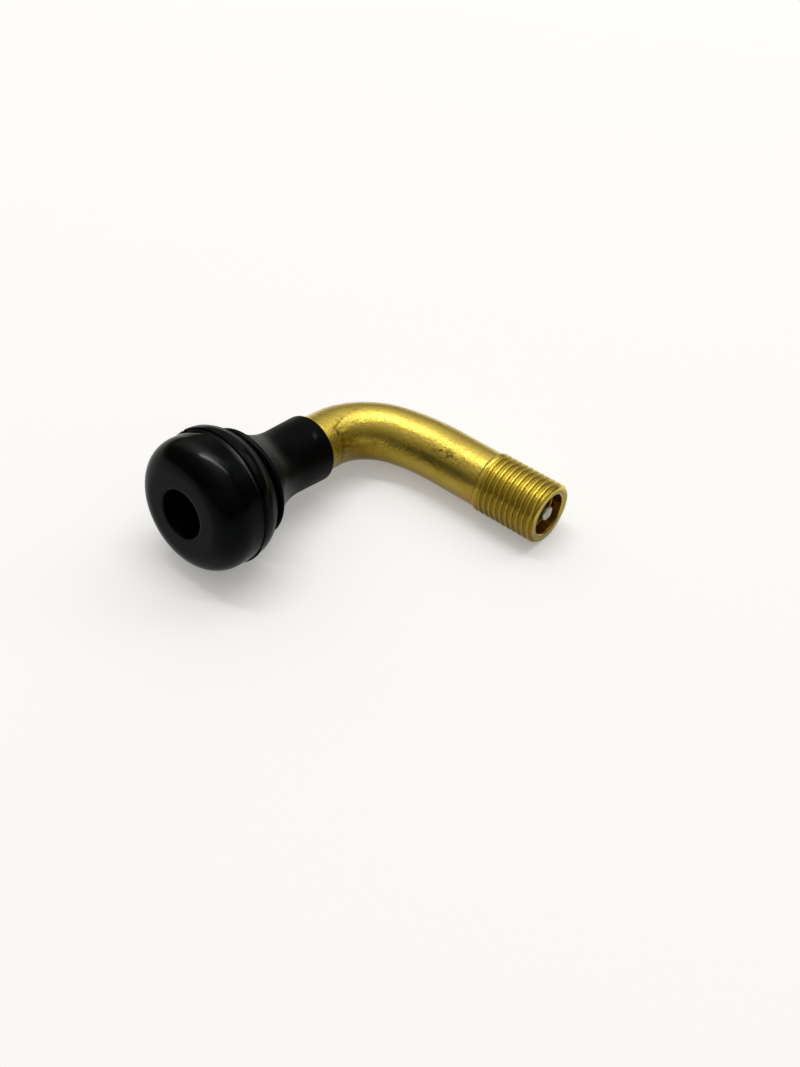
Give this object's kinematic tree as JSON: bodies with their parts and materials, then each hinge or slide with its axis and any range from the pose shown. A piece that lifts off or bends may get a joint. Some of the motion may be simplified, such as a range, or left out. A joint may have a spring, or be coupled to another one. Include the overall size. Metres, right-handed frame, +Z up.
{
  "type": "tyre valve",
  "caption": "Snap-in tyre valve: rubber base with a rim groove and sleeve, a brass stem bent at a right angle with a cap thread, and a sprung valve core in its mouth.",
  "frame": {"origin": "middle of the footprint on the surface that the valve lies on", "axes": "+Z up from the surface; -Y along the threaded leg, out of its mouth; the rubber base's axis lies in the XZ plane and slopes down by 9 degrees from the base at -X to the bend at +X"},
  "size_m": [0.037, 0.0363, 0.0165],
  "materials": {
    "base_rubber": "satin moulded black rubber",
    "stem_brass": "bright satin, lightly scratched",
    "core_brass": "turned",
    "gasket_rubber": "matt red",
    "spring_steel": "drawn wire",
    "pin_metal": "bright, domed end",
    "washer_rubber": "matt black"
  },
  "bodies": {
    "valve": {"rubber_base": "base_rubber", "stem": "stem_brass", "core_plug": "core_brass", "core_barrel": "core_brass", "barrel_gasket": "gasket_rubber", "core_spring": "spring_steel"},
    "pin": {"core_pin": "pin_metal", "seal_cup": "core_brass", "seal_washer": "washer_rubber"}
  },
  "joints": [
    {"name": "pin_press", "type": "slide", "parent": "valve", "child": "pin", "axis": [0, 1, 0], "range_m": [0, 0.001], "stiffness_N_per_m": 800, "springref_m": -0.004, "deforming": ["core_spring"]}
  ]
}
